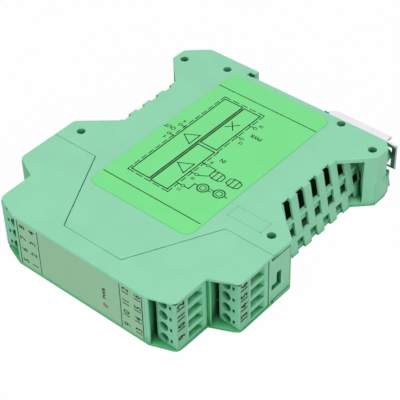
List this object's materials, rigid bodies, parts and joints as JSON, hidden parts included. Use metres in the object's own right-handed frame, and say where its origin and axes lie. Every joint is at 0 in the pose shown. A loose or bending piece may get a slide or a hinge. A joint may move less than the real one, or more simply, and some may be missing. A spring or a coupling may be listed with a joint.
{
  "type": "signal isolator",
  "caption": "Flat rail-mount signal isolator in a stepped plastic housing with plug-in screw terminals, side vents and a sprung metal rail catch.",
  "frame": {"origin": "on the underside, in the middle of the overall width and depth", "axes": "X across the terminals with the rail catch on the +X side, -Y to the front face and +Y to the rail, Z through the thickness"},
  "size_m": [0.099, 0.1146, 0.0226],
  "materials": {
    "housing": "fine satin",
    "marking_plate": "satin",
    "label": "semi-gloss film",
    "marker": "satin",
    "header": "satin",
    "catch_steel": "zinc plated",
    "spring_steel": "drawn wire",
    "screw_steel": "zinc plated",
    "plated_brass": "tin plated",
    "board": "lacquered laminate",
    "ferrite": "ground ferrite",
    "winding_tape": "tape",
    "can": "sleeved can",
    "chip": "moulded",
    "lamp": "tinted clear"
  },
  "bodies": {
    "housing": {"side_shell_top": "housing", "side_shell_bottom": "housing", "front_housing": "housing", "front_plate": "marking_plate", "side_label": "label", "catch_spring": "spring_steel", "main_board": "board", "transformer_core": "ferrite", "transformer_winding": "winding_tape", "filter_capacitors": "can", "amplifier_chips": "chip", "power_lamp": "lamp", "header_base_front_left": "header", "header_base_front_right": "header", "header_base_rear_left": "header", "header_base_rear_right": "header", "header_pins_front_left": "plated_brass", "header_pins_front_right": "plated_brass", "header_pins_rear_left": "plated_brass", "header_pins_rear_right": "plated_brass"},
    "catch": {"foot_catch": "catch_steel"},
    "plug_front_left": {"plug_body_front_left": "housing", "clamp_screws_front_left": "screw_steel", "wire_clamps_front_left": "plated_brass", "contact_sockets_front_left": "plated_brass", "marker_strip_front_left": "marker"},
    "plug_front_right": {"plug_body_front_right": "housing", "clamp_screws_front_right": "screw_steel", "wire_clamps_front_right": "plated_brass", "contact_sockets_front_right": "plated_brass", "marker_strip_front_right": "marker"},
    "plug_rear_left": {"plug_body_rear_left": "housing", "clamp_screws_rear_left": "screw_steel", "wire_clamps_rear_left": "plated_brass", "contact_sockets_rear_left": "plated_brass", "marker_strip_rear_left": "marker"},
    "plug_rear_right": {"plug_body_rear_right": "housing", "clamp_screws_rear_right": "screw_steel", "wire_clamps_rear_right": "plated_brass", "contact_sockets_rear_right": "plated_brass", "marker_strip_rear_right": "marker"}
  },
  "joints": [
    {"name": "catch_release", "type": "slide", "parent": "housing", "child": "catch", "axis": [1, 0, 0], "range_m": [0, 0.003], "stiffness_N_per_m": 2500, "springref_m": -0.002, "deforming": ["catch_spring"]},
    {"name": "plug_front_left_pull", "type": "slide", "parent": "housing", "child": "plug_front_left", "axis": [0, -1, 0], "range_m": [0, 0.014]},
    {"name": "plug_front_right_pull", "type": "slide", "parent": "housing", "child": "plug_front_right", "axis": [0, -1, 0], "range_m": [0, 0.014]},
    {"name": "plug_rear_left_pull", "type": "slide", "parent": "housing", "child": "plug_rear_left", "axis": [0, -1, 0], "range_m": [0, 0.014]},
    {"name": "plug_rear_right_pull", "type": "slide", "parent": "housing", "child": "plug_rear_right", "axis": [0, -1, 0], "range_m": [0, 0.014]}
  ]
}
